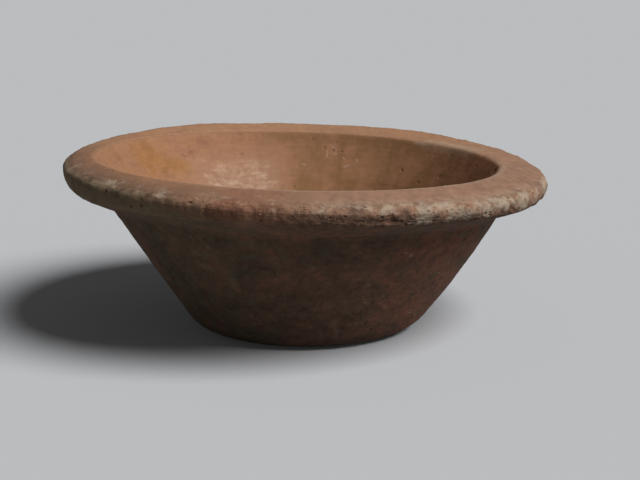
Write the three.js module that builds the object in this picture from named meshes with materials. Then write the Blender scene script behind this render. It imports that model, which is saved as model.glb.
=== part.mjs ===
// A hand-made earthenware bowl: a steep open wall on a flat base, with a broad flat rim
// that has warped in the drying and the fire. Millimetres and degrees, +Z up.
// The origin is the centre of the resting face; -Y is the front and +X the right.
import * as THREE from 'three';

// Rim
const RIM_DIAMETER = 170;
const RIM_HEIGHT = 60.2; // mean height of the flange's top, at the opening
const FLANGE_FALL = 0.9; // how much lower the top lies at the outer edge
const RIM_EDGE = 4.7; // least thickness of the flange at its outer edge
const RIM_EDGE_ROUND = 2; // rounding of the outer edge, above and below
const FLANGE_WIDTH = 13.8; // from the outer edge to the opening, along the top
const OPENING_ROUND = 1.5; // rounding of the flange's inner edge
const NECK_INSET = 16.5; // how far the neck, where wall meets flange, lies inside the outer edge
const NECK_DROP = 17.2; // how far the neck lies below the flange's top
const NECK_BEND = 5; // length of the bend from wall to flange underside

// Base
const FOOT_DIAMETER = 64;
const HEEL_ROUND = 13; // curve between resting face and wall
const FLOOR_THICKNESS = 8;
const FLOOR_INSET = 4; // how far the flat floor stops short of the foot's edge
const FLOOR_ROUND = 16; // curve between floor and inner wall

// Lopsidedness, as rises and falls from the mean shape
const LEFT_RISE = 2; // the whole mouth stands higher on the left, lower on the right
const FRONT_RISE = 1.3; // and higher at the front, lower at the back
const FLANGE_LIFT_LEFT = 1.1; // the flange's outer edge rises further on the left
const FLANGE_LIFT_BACK = 3.6; // it rises at the back and droops at the front
const FLANGE_SADDLE = 1.3; // it rises at front and back, and droops at the sides
const LEFT_SWELL = 2.3; // the flange's edge is thicker on the left
const RIGHT_SWELL = 1.2; // and, less so, on the right
const RIGHT_BULGE = 1.1; // the wall swells out on the right, most a third of the way up
const OPENING_SHIFT = 2.8; // the opening lies this far left of the rim's centre

// Joints between the three pieces of clay
const BASE_JOINT_ANGLE = 24; // where the base's bevelled edge starts on the heel's curve, from straight down
const RIM_JOINT_RISE = 4.5; // how much higher the rim's joint lies inside than outside
const JOINT_GAP = 0.3;

// Fineness of the mesh
const SEGMENTS = 72; // around the axis
const CURVE_STEPS = 2;
const WALL_STEPS = 5;
const FLANGE_STEPS = 3;

const radians = THREE.MathUtils.degToRad;
const clamp = THREE.MathUtils.clamp;

const rimRadius = RIM_DIAMETER / 2;
const openingRadius = rimRadius - FLANGE_WIDTH;
const neck = new THREE.Vector2(rimRadius - NECK_INSET, RIM_HEIGHT - NECK_DROP);
const edgeTop = RIM_HEIGHT - FLANGE_FALL;
const footRadius = FOOT_DIAMETER / 2;
const floorRadius = footRadius - FLOOR_INSET;
const edgeRound = Math.min(RIM_EDGE_ROUND, 0.45 * RIM_EDGE);

// The half section is drawn as (radius, height). Outside and inside, a straight wall leaves
// a rounded corner at the angle at which it is tangent there and meets the point above.
function slopeFrom(corner, round, point) {
  const across = point.clone().sub(corner);
  return across.angle() + Math.asin(round / across.length());
}

function onArc(corner, round, angle) {
  return new THREE.Vector2(round * Math.sin(angle), -round * Math.cos(angle)).add(corner);
}

const heelCentre = new THREE.Vector2(footRadius, HEEL_ROUND);
const floorCentre = new THREE.Vector2(floorRadius, FLOOR_THICKNESS + FLOOR_ROUND);
const opening = new THREE.Vector2(openingRadius, RIM_HEIGHT);
const wallSlope = slopeFrom(heelCentre, HEEL_ROUND, neck);
const innerSlope = slopeFrom(floorCentre, FLOOR_ROUND, opening);
const heelTop = onArc(heelCentre, HEEL_ROUND, wallSlope);
const floorCurveTop = onArc(floorCentre, FLOOR_ROUND, innerSlope);

function onWall(height) {
  return new THREE.Vector2(heelTop.x + (height - heelTop.y) / Math.tan(wallSlope), height);
}

function onInnerWall(height) {
  return new THREE.Vector2(floorCurveTop.x + (height - floorCurveTop.y) / Math.tan(innerSlope), height);
}

// The base is a disc with a bevelled edge, from the heel up to the rim of the flat floor.
const bevelAngle = radians(BASE_JOINT_ANGLE);
const bevelFoot = onArc(heelCentre, HEEL_ROUND, bevelAngle);
const bevelTop = new THREE.Vector2(floorRadius, FLOOR_THICKNESS);

// How far along a surface of that slope a joint's corner moves to open the gap across the joint.
function gapAlong(jointStart, jointEnd, slope) {
  const joint = jointEnd.clone().sub(jointStart).angle();
  return JOINT_GAP / Math.abs(Math.sin(joint - slope));
}

const wallThickness = (neck.x - onInnerWall(neck.y).x) * Math.sin(wallSlope);

// A straight run in equal steps, so that it can bend when the shape is warped.
function straightTo(path, end, steps) {
  const start = path.currentPoint.clone();
  for (let step = 1; step <= steps; step += 1) {
    const point = start.clone().lerp(end, step / steps);
    path.lineTo(point.x, point.y);
  }
}

function heelArc(path, from, to) {
  path.absarc(footRadius, HEEL_ROUND, HEEL_ROUND, from - Math.PI / 2, to - Math.PI / 2, false);
}

function floorArc(path, from, to) {
  path.absarc(floorRadius, floorCentre.y, FLOOR_ROUND, from - Math.PI / 2, to - Math.PI / 2, true);
}

function baseSection() {
  const path = new THREE.Path();
  path.moveTo(0, 0);
  path.lineTo(footRadius, 0);
  heelArc(path, 0, bevelAngle);
  path.lineTo(bevelTop.x, bevelTop.y);
  path.lineTo(0, FLOOR_THICKNESS);
  return path;
}

function wallSection() {
  const outsideAngle = bevelAngle + gapAlong(bevelFoot, bevelTop, bevelAngle) / HEEL_ROUND;
  const insideAngle = gapAlong(bevelFoot, bevelTop, 0) / FLOOR_ROUND;
  const start = onArc(heelCentre, HEEL_ROUND, outsideAngle);
  const rimInside = onInnerWall(neck.y + RIM_JOINT_RISE);
  const outsideFall = gapAlong(neck, rimInside, wallSlope) * Math.sin(wallSlope);
  const insideFall = gapAlong(neck, rimInside, innerSlope) * Math.sin(innerSlope);
  const topInside = onInnerWall(rimInside.y - insideFall);
  const path = new THREE.Path();
  path.moveTo(start.x, start.y);
  heelArc(path, outsideAngle, wallSlope);
  straightTo(path, onWall(neck.y - outsideFall), WALL_STEPS);
  path.lineTo(topInside.x, topInside.y);
  straightTo(path, floorCurveTop, WALL_STEPS);
  floorArc(path, innerSlope, insideAngle);
  path.lineTo(start.x, start.y);
  return path;
}

function rimSection() {
  const bend = new THREE.Vector2(Math.cos(wallSlope), Math.sin(wallSlope))
    .multiplyScalar(NECK_BEND / 2)
    .add(neck);
  const edgeFoot = new THREE.Vector2(rimRadius, edgeTop - RIM_EDGE);
  const underside = edgeFoot.clone().sub(bend).normalize();
  const bendEnd = underside.clone().multiplyScalar(NECK_BEND / 2).add(bend);
  const undersideEnd = underside.clone().multiplyScalar(-edgeRound).add(edgeFoot);
  const openingFoot = onInnerWall(RIM_HEIGHT - OPENING_ROUND);
  const inside = onInnerWall(neck.y + RIM_JOINT_RISE);
  const path = new THREE.Path();
  path.moveTo(neck.x, neck.y);
  path.quadraticCurveTo(bend.x, bend.y, bendEnd.x, bendEnd.y);
  straightTo(path, undersideEnd, FLANGE_STEPS);
  path.quadraticCurveTo(edgeFoot.x, edgeFoot.y, rimRadius, edgeFoot.y + edgeRound);
  path.lineTo(rimRadius, edgeTop - edgeRound);
  path.quadraticCurveTo(rimRadius, edgeTop, rimRadius - edgeRound, edgeTop);
  straightTo(path, new THREE.Vector2(openingRadius + OPENING_ROUND, RIM_HEIGHT), FLANGE_STEPS);
  path.quadraticCurveTo(opening.x, opening.y, openingFoot.x, openingFoot.y);
  straightTo(path, inside, FLANGE_STEPS);
  path.lineTo(neck.x, neck.y);
  return path;
}

// The warp: every point of the turned shape moves with the height and radius it has there.
function warp(point) {
  const radius = Math.hypot(point.x, point.y);
  if (radius === 0) {
    return;
  }
  const left = -point.x / radius;
  const back = point.y / radius;
  const frontAndBack = back * back - left * left;
  const rise = Math.max(point.z / RIM_HEIGHT, 0) ** 1.5;
  const height = clamp(point.z / neck.y, 0, 1);
  const bulge = RIGHT_BULGE * ((1 - left) / 2) ** 2 * 6.75 * height * (1 - height) ** 2;
  const reach = clamp((radius - neck.x) / (rimRadius - neck.x), 0, 1);
  const belowTop = clamp((edgeTop - edgeRound - point.z) / edgeRound, 0, 1);
  const depth = (onWall(point.z).x - radius) * Math.sin(wallSlope);
  const inside = clamp(depth / wallThickness, 0, 1);
  const lift = FLANGE_LIFT_LEFT * left + FLANGE_LIFT_BACK * back + FLANGE_SADDLE * frontAndBack;
  const swell = LEFT_SWELL * ((1 + left) / 2) ** 2 + RIGHT_SWELL * ((1 - left) / 2) ** 2;
  point.x -= OPENING_SHIFT * rise * inside + bulge * left;
  point.y += bulge * back;
  point.z += (LEFT_RISE * left - FRONT_RISE * back) * rise + reach * (lift - swell * belowTop);
}

function turnedPiece(name, section, material) {
  const geometry = new THREE.LatheGeometry(section.getPoints(CURVE_STEPS), SEGMENTS);
  geometry.rotateX(Math.PI / 2);
  const positions = geometry.getAttribute('position');
  const point = new THREE.Vector3();
  for (let index = 0; index < positions.count; index += 1) {
    point.fromBufferAttribute(positions, index);
    warp(point);
    positions.setXYZ(index, point.x, point.y, point.z);
  }
  geometry.computeVertexNormals();
  const mesh = new THREE.Mesh(geometry, material);
  mesh.name = name;
  return mesh;
}

const bareClay = new THREE.MeshStandardMaterial({ color: 0x8a5f49, roughness: 0.93, metalness: 0 });
const smoothedClay = new THREE.MeshStandardMaterial({ color: 0xab7a58, roughness: 0.86, metalness: 0 });
const wornClay = new THREE.MeshStandardMaterial({ color: 0x9c7a63, roughness: 0.95, metalness: 0 });

const group = new THREE.Group();
group.add(
  turnedPiece('base_disc', baseSection(), bareClay),
  turnedPiece('wall', wallSection(), smoothedClay),
  turnedPiece('rim_flange', rimSection(), wornClay),
);

export default group;
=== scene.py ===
import math
from collections import namedtuple
from functools import partial

import bpy
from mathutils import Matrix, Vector


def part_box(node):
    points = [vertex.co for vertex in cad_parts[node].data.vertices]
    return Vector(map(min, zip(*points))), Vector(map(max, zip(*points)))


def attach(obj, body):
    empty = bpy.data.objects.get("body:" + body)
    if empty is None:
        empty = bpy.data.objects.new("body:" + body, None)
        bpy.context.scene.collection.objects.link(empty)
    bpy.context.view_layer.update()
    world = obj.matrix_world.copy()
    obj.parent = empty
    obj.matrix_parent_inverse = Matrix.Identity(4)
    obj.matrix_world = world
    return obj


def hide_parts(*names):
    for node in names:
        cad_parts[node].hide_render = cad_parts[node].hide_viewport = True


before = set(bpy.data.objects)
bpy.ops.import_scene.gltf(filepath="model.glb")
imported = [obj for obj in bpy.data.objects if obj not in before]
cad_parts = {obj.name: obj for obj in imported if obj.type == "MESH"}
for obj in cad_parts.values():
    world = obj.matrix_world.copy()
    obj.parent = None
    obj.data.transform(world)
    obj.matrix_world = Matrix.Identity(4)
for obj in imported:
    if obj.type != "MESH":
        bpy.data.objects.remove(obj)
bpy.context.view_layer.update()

bl_info = {
    "name": "Earthenware bowl",
    "version": (1, 0, 0),
    "blender": (4, 5, 0),
    "location": "3D View > Sidebar > Bowl",
    "description": "Turns a worn, unglazed earthenware bowl with a broad flat rim",
    "category": "Add Mesh",
}

MM = 0.001
BODY = "root"
RIM_LOW, RIM_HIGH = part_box("rim_flange")
AXIS_CLEARANCE = 4 * MM  # within this distance of the axis the warp fades out
WELD = 0.001 * MM  # vertices closer than this become one
ROUND_LIMIT = 0.45  # the largest share of the rim's edge that one of its roundings takes up
RISE_POWER = 1.5  # the mouth's rises and shifts grow with this power of the height
BULGE_PEAK = 27 / 4  # brings a bulge that goes with h * (1 - h) ** 2 to 1 at its fullest
FLOOR_REACH = 12.0  # how far the stage's floor reaches to each side, in metres
SENSOR_WIDTH = 36  # of the camera, in millimetres

# How far apart the rows lie on each stretch of the section.
FOOT_ROWS = 1.7 * MM
HEEL_ROWS = 0.9 * MM
WALL_ROWS = 1.0 * MM
NECK_ROWS = 0.7 * MM
UNDERSIDE_ROWS = 0.75 * MM
EDGE_ROWS = 0.32 * MM
TOP_ROWS = 0.48 * MM
LIP_ROWS = 0.4 * MM
THROAT_ROWS = 0.5 * MM
INSIDE_ROWS = 0.9 * MM
FLOOR_ROWS = 1.4 * MM

# What each row of the section hands on to the surface that is turned from it.
ROW_FIELDS = {
    "facing": "FLOAT_VECTOR",
    "zones": "FLOAT_VECTOR",
    "along": "FLOAT",
    "corner": "FLOAT",
    "level": "FLOAT",
    "seam": "FLOAT",
}
SEAMS = ("foot", "neck", "throat", "floor")
Row = namedtuple("Row", ("point", *ROW_FIELDS))

# Places on the bowl are given by their direction seen from above, in degrees:
# 0 is the right, 90 the back, 180 the left and -90 the front.
Damage = namedtuple("Damage", "direction height size depth")
Stroke = namedtuple("Stroke", "direction height slope reach breadth")

# Single breaks in the rim's outer edge, by the height above its lowest line. Sizes in millimetres.
EDGE_BREAKS = (
    Damage(-38, 1.6, 2.6, 0.4),
    Damage(-71.5, 1.2, 2.6, 0.6),
    Damage(-110, 1.4, 2.4, 0.5),
    Damage(160, 2.0, 3.6, 0.7),
    Damage(84, 1.6, 4.0, 0.7),
)

# Single pits in the inside, by how far they lie below the rim's top.
INSIDE_PITS = (
    Damage(-3, 2.6, 3.0, 0.6),
    Damage(86, 2.2, 0.8, 0.2),
    Damage(82, 5.2, 0.8, 0.2),
    Damage(79, 6.2, 0.9, 0.2),
    Damage(76, 6.6, 0.7, 0.2),
    Damage(78, 3.0, 0.7, 0.2),
    Damage(52, 11.4, 0.9, 0.25),
    Damage(43, 14.6, 0.8, 0.2),
    Damage(34, 11.4, 0.9, 0.25),
    Damage(17, 4.4, 0.9, 0.2),
    Damage(-70, 22, 1.0, 0.3),
    Damage(-140, 17, 0.8, 0.3),
    Damage(-20, 28, 0.9, 0.3),
    Damage(150, 30, 1.0, 0.3),
)

# Single smears and scratches, by direction and height, with how steeply they fall to the right
# as seen from the front, and their half length and half breadth in millimetres.
INSIDE_PALE = (
    Stroke(81, 53.6, 0.8, 0.9, 0.6),
    Stroke(83, 51.5, 0.0, 0.5, 1.5),
    Stroke(80, 51.4, 0.6, 0.7, 0.5),
    Stroke(77, 50.0, 0.5, 0.9, 0.5),
    Stroke(72, 49.5, 0.4, 0.9, 0.6),
    Stroke(76, 47.0, -0.2, 2.0, 0.6),
    Stroke(91, 47.4, 0.1, 1.8, 0.5),
    Stroke(50, 57.4, 0.1, 4.0, 0.9),
)
INSIDE_DARK = (
    Stroke(94, 50.4, 0.1, 1.5, 0.5),
    Stroke(113, 52, -0.2, 1.1, 0.8),
    Stroke(58, 54.5, -0.8, 0.9, 0.8),
    Stroke(131.5, 54.2, -0.1, 2.2, 0.7),
    Stroke(135, 53.2, 0.2, 1.2, 0.7),
    Stroke(51, 55.6, 0.1, 3.2, 0.7),
)
INSIDE_RED = (
    Stroke(132, 54.8, -0.15, 6.5, 1.9),
    Stroke(135.5, 56.4, 0.2, 3, 2.4),
    Stroke(126.5, 57.2, 0.2, 4.5, 1.3),
)
INSIDE_OCHRE = (
    Stroke(150.5, 54.5, 0.1, 10, 8),
    Stroke(139, 50, 0.2, 7, 4),
)
OUTSIDE_PALE = (
    Stroke(-122, 32.5, 0.36, 4.0, 1.6),
    Stroke(-114, 27, 0.2, 2.5, 2.4),
)
OUTSIDE_SPECKS = (
    Stroke(-60, 37.7, 0.0, 0.5, 0.5),
    Stroke(-58, 36.4, 0.2, 0.8, 0.6),
    Stroke(-49, 20.7, 0.0, 0.5, 0.4),
    Stroke(-36, 9.6, 0.0, 0.5, 0.5),
    Stroke(-69, 26.6, 0.0, 0.5, 0.4),
)


def length(label, description, millimetres):
    """A size that is given in millimetres and kept in metres."""
    return bpy.props.FloatProperty(
        name=label, description=description, default=millimetres * MM, unit="LENGTH", precision=5
    )


def angle(label, description, degrees):
    """An angle that is given in degrees and kept in radians."""
    return bpy.props.FloatProperty(
        name=label, description=description, default=math.radians(degrees), subtype="ANGLE"
    )


def number(label, description, value):
    """A plain number."""
    return bpy.props.FloatProperty(name=label, description=description, default=value)


def whole(label, description, value):
    """A whole number."""
    return bpy.props.IntProperty(name=label, description=description, default=value)


def tint(label, description, value):
    """A colour in linear light."""
    return bpy.props.FloatVectorProperty(
        name=label, description=description, default=value, subtype="COLOR", min=0, max=1
    )


def spot(label, description, millimetres):
    """A place that is given in millimetres and kept in metres."""
    metres = [part * MM for part in millimetres]
    return bpy.props.FloatVectorProperty(
        name=label, description=description, default=metres, subtype="TRANSLATION", unit="LENGTH"
    )


def heading(label, description, value):
    """A direction, as a vector that points there."""
    return bpy.props.FloatVectorProperty(
        name=label, description=description, default=value, subtype="DIRECTION"
    )


class BowlShape(bpy.types.PropertyGroup):
    """The turned shape"""

    rim_diameter: length("Rim diameter", "Across the rim", (RIM_HIGH.x - RIM_LOW.x) / MM)
    rim_height: length("Rim height", "Mean height of the rim's top, at the opening", 60.2)
    flange_fall: length("Flange fall", "How much lower the top lies at the outer edge", 0.9)
    rim_edge: length("Rim edge", "Thickness of the rim at its outer edge", 4.7)
    rim_edge_round: length("Rim edge round", "Rounding of the outer edge", 2)
    flange_width: length("Flange width", "From the outer edge to the opening", 13.8)
    opening_round: length("Opening round", "Rounding of the rim's inner edge", 1.5)
    neck_inset: length("Neck inset", "How far the neck lies inside the outer edge", 16.5)
    neck_drop: length("Neck drop", "How far the neck lies below the rim's top", 17.2)
    neck_bend: length("Neck bend", "Length of the bend from wall to rim", 5)
    foot_diameter: length("Foot diameter", "Across the flat resting face", 64)
    heel_round: length("Heel round", "Curve between resting face and wall", 13)
    floor_thickness: length("Floor thickness", "Thickness of the bottom", 8)
    floor_inset: length("Floor inset", "How far the flat floor stops short of the foot", 4)
    floor_round: length("Floor round", "Curve between floor and inner wall", 16)
    base_joint_angle: angle("Base joint", "Where the base ends on the heel's curve", 24)
    rim_joint_rise: length("Rim joint rise", "How much higher the rim's joint lies inside", 4.5)
    columns: whole("Columns", "Steps around the bowl", 840)


class BowlWarp(bpy.types.PropertyGroup):
    """How lopsided the bowl is"""

    left_rise: length("Left rise", "The mouth stands higher on the left", 2)
    front_rise: length("Front rise", "The mouth stands higher at the front", 1.3)
    lift_left: length("Flange lift left", "The rim's outer edge rises on the left", 1.1)
    lift_back: length("Flange lift back", "The rim's outer edge rises at the back", 3.6)
    saddle: length("Flange saddle", "It rises at front and back, and droops at the sides", 1.3)
    back_wave: length("Back wave", "It rises either side of the back, and dips between", 0.7)
    left_swell: length("Left swell", "The rim's edge is thicker on the left", 2.3)
    right_swell: length("Right swell", "And, less so, on the right", 1.2)
    right_bulge: length("Right bulge", "The wall swells out on the right, a third of the way up", 1.1)
    upper_bulge: length("Upper bulge", "And again, two thirds of the way up", 1.0)
    opening_shift: length("Opening shift", "How far left of the centre the opening lies", 2.8)


class BowlWear(bpy.types.PropertyGroup):
    """Traces of the making and of long use"""

    allowance: length("Allowance", "How far the rim's mean surface lies inside its full size", 0.15)
    hand_wobble: length("Hand wobble", "Broad unevenness left by the hands", 0.5)
    ring_depth: length("Ring depth", "Depth of the turning marks", 0.16)
    skin_roughness: length("Skin roughness", "Roughness of the bare outside", 0.2)
    edge_roughness: length("Edge roughness", "Roughness of the rim's crumbled edge", 0.3)
    edge_lumps: length("Edge lumps", "Unevenness of the rim's edge line", 0.4)
    corner_wear: length("Corner wear", "How far the edge's corners are rubbed down", 0.9)
    break_depth: length("Break depth", "How deep the edge is broken in places", 0.6)
    pit_depth: length("Pit depth", "Depth of the small holes", 0.4)
    pit_spacing: length("Pit spacing", "Mean distance between places where a hole can be", 1.8)
    crust_height: length("Crust height", "Thickness of the lime and soil crust", 0.25)
    seed: whole("Seed", "Changes every random trace", 7)


class BowlGrains(bpy.types.PropertyGroup):
    """Grains of crust and grit"""

    crust_density: number("Crust density", "Grains on a square metre of full crust", 240000)
    crust_smallest: length("Smallest crust grain", "Least radius of a crust grain", 0.12)
    crust_largest: length("Largest crust grain", "Greatest radius of a crust grain", 0.36)
    grit_density: number("Grit density", "Grains of grit on a square metre of bare clay", 4500)
    grit_smallest: length("Smallest grit", "Least radius of a grain of grit", 0.15)
    grit_largest: length("Largest grit", "Greatest radius of a grain of grit", 0.45)


class BowlColours(bpy.types.PropertyGroup):
    """Colours of the clay and of what lies on it"""

    clay_brown: tint("Clay brown", "Bare outside", (0.185, 0.106, 0.071))
    clay_red: tint("Clay red", "Redder patches of the outside", (0.238, 0.101, 0.062))
    clay_olive: tint("Clay olive", "Sooted, soil-stained places", (0.122, 0.101, 0.06))
    edge_soil: tint("Edge soil", "Dry soil on the rim's edge and the outside", (0.26, 0.195, 0.12))
    inside_orange: tint("Inside orange", "Smoothed inside", (0.287, 0.142, 0.075))
    inside_ochre: tint("Inside ochre", "Ochre smears inside", (0.272, 0.124, 0.038))
    inside_pale: tint("Inside pale", "Rubbed, pale patch inside", (0.44, 0.295, 0.22))
    # Inside brown is also the painted shade at the back right of the inside and under the back of the rim.
    inside_brown: tint("Inside brown", "Darker stains inside", (0.17, 0.088, 0.036))
    top_pink: tint("Top pink", "Top of the rim", (0.258, 0.143, 0.093))
    top_orange: tint("Top orange", "Top of the rim at the back", (0.31, 0.163, 0.09))
    top_grey: tint("Top grey", "Worn top of the rim, front left", (0.2, 0.109, 0.064))
    crust: tint("Crust", "Lime and soil on the rim's edge", (0.39, 0.325, 0.24))
    chip: tint("Chip", "Fresh breaks", (0.15, 0.06, 0.042))
    pit: tint("Pit", "Soil in the small holes", (0.035, 0.026, 0.018))
    fleck: tint("Fleck", "Pale grit and scratches", (0.47, 0.37, 0.28))


class BowlStage(bpy.types.PropertyGroup):
    """Floor, light and camera"""

    floor: tint("Floor", "The floor as it is seen", (0.5, 0.51, 0.525))
    floor_bounce: tint("Floor bounce", "The floor as it lights the bowl", (0.2, 0.2, 0.205))
    floor_glow: number("Floor glow", "Share of its own light in the floor, which lifts the shadow", 0.025)
    key_strength: number("Key strength", "Strength of the main light", 3.9)
    key_softness: angle("Key softness", "Angle over which the main light spreads", 30)
    key_direction: heading("Key direction", "Where the main light comes from", (0.556, -0.37, 0.74))
    fill_strength: number("Fill strength", "Strength of the even light from all round", 0.07)
    camera_target: spot("Camera target", "The point that the camera looks at", (5.15, 0, 29.88))
    camera_distance: length("Camera distance", "From the camera to the point it looks at", 500)
    camera_height: angle("Camera height", "How far the camera looks down", 12.01)
    lens: number("Lens", "Focal length in millimetres", 78.3)


def joined(operation, turned=False):
    """A method that joins a wire and a value in a Math node, with the value first if turned."""

    def method(self, value):
        operands = (value, self) if turned else (self, value)
        return self.add("ShaderNodeMath", {"operation": operation}, dict(enumerate(operands)))

    return method


def find_socket(sockets, key):
    """A socket by its number, its identifier or its name."""
    if isinstance(key, int):
        return sockets[key]
    for socket in sockets:
        if socket.identifier == key:
            return socket
    return sockets[key]


class Wire:
    """A socket of a node tree. Sums on it add Math nodes, and add() brings in any other node."""

    __add__ = joined("ADD")
    __radd__ = joined("ADD", turned=True)
    __sub__ = joined("SUBTRACT")
    __rsub__ = joined("SUBTRACT", turned=True)
    __mul__ = joined("MULTIPLY")
    __rmul__ = joined("MULTIPLY", turned=True)
    __truediv__ = joined("DIVIDE")
    __rtruediv__ = joined("DIVIDE", turned=True)
    __pow__ = joined("POWER")
    least = joined("MINIMUM")
    most = joined("MAXIMUM")
    below = joined("LESS_THAN")
    above = joined("GREATER_THAN")

    def __init__(self, tree, socket=None):
        self.tree = tree
        self.socket = socket

    def add(self, kind, settings=None, inputs=None, output=0):
        """A new node with its settings, and with a wire or a plain value in each of these inputs."""
        node = self.tree.nodes.new(kind)
        for name, value in (settings or {}).items():
            setattr(node, name, value)
        for key, value in (inputs or {}).items():
            socket = find_socket(node.inputs, key)
            if isinstance(value, Wire):
                self.tree.links.new(value.socket, socket)
            elif socket.type == "RGBA":
                socket.default_value = (*value, 1.0)
            else:
                socket.default_value = value
        return Wire(self.tree, find_socket(node.outputs, output) if node.outputs else None)

    def other(self, output):
        """Another output of the same node."""
        return Wire(self.tree, find_socket(self.socket.node.outputs, output))

    def function(self, operation):
        """What a Math node with one input makes of this."""
        return self.add("ShaderNodeMath", {"operation": operation}, {0: self})

    def clamped(self):
        return self.most(0).least(1)

    def smooth(self, low, high):
        """Rises smoothly from 0 at low to 1 at high, or falls where low is the greater."""
        limits = {"Value": self, "From Min": low, "From Max": high}
        return self.add("ShaderNodeMapRange", {"interpolation_type": "SMOOTHSTEP"}, limits)

    def parts(self):
        """The three parts of a vector."""
        first = self.add("ShaderNodeSeparateXYZ", inputs={"Vector": self})
        return first, first.other("Y"), first.other("Z")

    def vector(self, *parts):
        return self.add("ShaderNodeCombineXYZ", inputs=dict(enumerate(parts)))

    def scaled(self, *scales):
        """A vector with each of its parts scaled."""
        product = {0: self, 1: scales}
        return self.add("ShaderNodeVectorMath", {"operation": "MULTIPLY"}, product)

    def times(self, amount):
        """A vector or a colour, scaled as a whole."""
        product = {"Vector": self, "Scale": amount}
        return self.add("ShaderNodeVectorMath", {"operation": "SCALE"}, product)

    def paint(self, value):
        """A plain colour, to mix others into."""
        plain = self.add("ShaderNodeRGB")
        plain.socket.default_value = (*value, 1.0)
        return plain

    def mixed(self, colour, amount):
        """This colour, with some of another one mixed in."""
        sockets = {"Factor_Float": amount, "A_Color": self, "B_Color": colour}
        return self.add("ShaderNodeMix", {"data_type": "RGBA"}, sockets, "Result_Color")

    def noise(self, size, seed=0, detail=2, roughness=0.5):
        """Noise between about -1 and 1 over this place, in lumps of that size."""
        sockets = {"Vector": self, "W": seed, "Scale": 1 / size, "Detail": detail, "Roughness": roughness}
        return self.add("ShaderNodeTexNoise", {"noise_dimensions": "4D"}, sockets) * 2 - 1

    def cells(self, spacing, seed=0):
        """The distance to the nearest of some scattered points, as a share of their spacing."""
        sockets = {"Vector": self, "W": seed, "Scale": 1 / spacing}
        return self.add("ShaderNodeTexVoronoi", {"voronoi_dimensions": "4D"}, sockets, "Distance")

    def bumped(self):
        """A normal for this height in metres."""
        return self.add("ShaderNodeBump", inputs={"Height": self, "Distance": 1.0, "Strength": 1.0})


def facing_share(right, back, direction, near, far):
    """1 within some degrees of a direction round the axis, falling to 0 further away."""
    turn = math.radians(direction)
    closeness = right * math.cos(turn) + back * math.sin(turn)
    return closeness.smooth(math.cos(math.radians(far)), math.cos(math.radians(near)))


def smoothstep(low, high, value):
    share = min(max((value - low) / (high - low), 0), 1)
    return share * share * (3 - 2 * share)


def on_arc(centre, radius, turn):
    return centre + radius * Vector((math.sin(turn), -math.cos(turn)))


def slope_from(corner, radius, point):
    """The slope of a straight wall that is tangent to a rounded corner and meets a point above."""
    across = point - corner
    return math.atan2(across.y, across.x) + math.asin(radius / across.length)


class Profile:
    """Corners and slopes of the bowl's half section, with points as radius and height."""

    def __init__(self, shape):
        foot_radius = shape.foot_diameter / 2
        self.rim_radius = shape.rim_diameter / 2
        self.opening = Vector((self.rim_radius - shape.flange_width, shape.rim_height))
        self.neck = Vector((self.rim_radius - shape.neck_inset, shape.rim_height - shape.neck_drop))
        self.edge_top = shape.rim_height - shape.flange_fall
        self.edge_round = min(shape.rim_edge_round, ROUND_LIMIT * shape.rim_edge)
        self.foot_edge = Vector((foot_radius, 0))
        self.floor_edge = Vector((foot_radius - shape.floor_inset, shape.floor_thickness))
        self.heel_centre = Vector((foot_radius, shape.heel_round))
        self.floor_centre = self.floor_edge + Vector((0, shape.floor_round))
        self.wall_slope = slope_from(self.heel_centre, shape.heel_round, self.neck)
        self.inner_slope = slope_from(self.floor_centre, shape.floor_round, self.opening)
        self.heel_top = on_arc(self.heel_centre, shape.heel_round, self.wall_slope)
        self.curve_top = on_arc(self.floor_centre, shape.floor_round, self.inner_slope)

    def on_inner_wall(self, height):
        outwards = (height - self.curve_top.y) / math.tan(self.inner_slope)
        return Vector((self.curve_top.x + outwards, height))

    def sizes(self):
        """What the warp has to know of the section."""
        neck = self.neck
        return {
            "Rim Height": self.opening.y,
            "Rim Radius": self.rim_radius,
            "Neck Radius": neck.x,
            "Neck Height": neck.y,
            "Edge Foot": self.edge_top - self.edge_round,
            "Edge Round": self.edge_round,
            "Heel Radius": self.heel_top.x,
            "Heel Height": self.heel_top.y,
            "Wall Slope": self.wall_slope,
            "Wall Thickness": (neck.x - self.on_inner_wall(neck.y).x) * math.sin(self.wall_slope),
        }


class Outline:
    """A line that is drawn stretch by stretch, in rows about a spacing apart, some of them named."""

    def __init__(self, start):
        self.points = [start]
        self.named_rows = {}

    def name_row(self, name, rows_back=0):
        """Names the row that the line has come to, or one before it."""
        self.named_rows[name] = len(self.points) - 1 - rows_back

    def straight(self, end, spacing):
        start = self.points[-1]
        steps = max(1, round((end - start).length / spacing))
        self.points += [start.lerp(end, step / steps) for step in range(1, steps + 1)]

    def arc(self, centre, radius, start, end, spacing):
        steps = max(1, round(abs(end - start) * radius / spacing))
        turns = [start + (end - start) * step / steps for step in range(1, steps + 1)]
        self.points += [on_arc(centre, radius, turn) for turn in turns]

    def bend(self, corner, end, spacing):
        """Rounds a corner with a quadratic curve, and gives the number of its steps."""
        start = self.points[-1]
        steps = max(2, round(((corner - start).length + (end - corner).length) / spacing))
        shares = [step / steps for step in range(1, steps + 1)]
        self.points += [start.lerp(corner, share).lerp(corner.lerp(end, share), share) for share in shares]
        return steps


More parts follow.
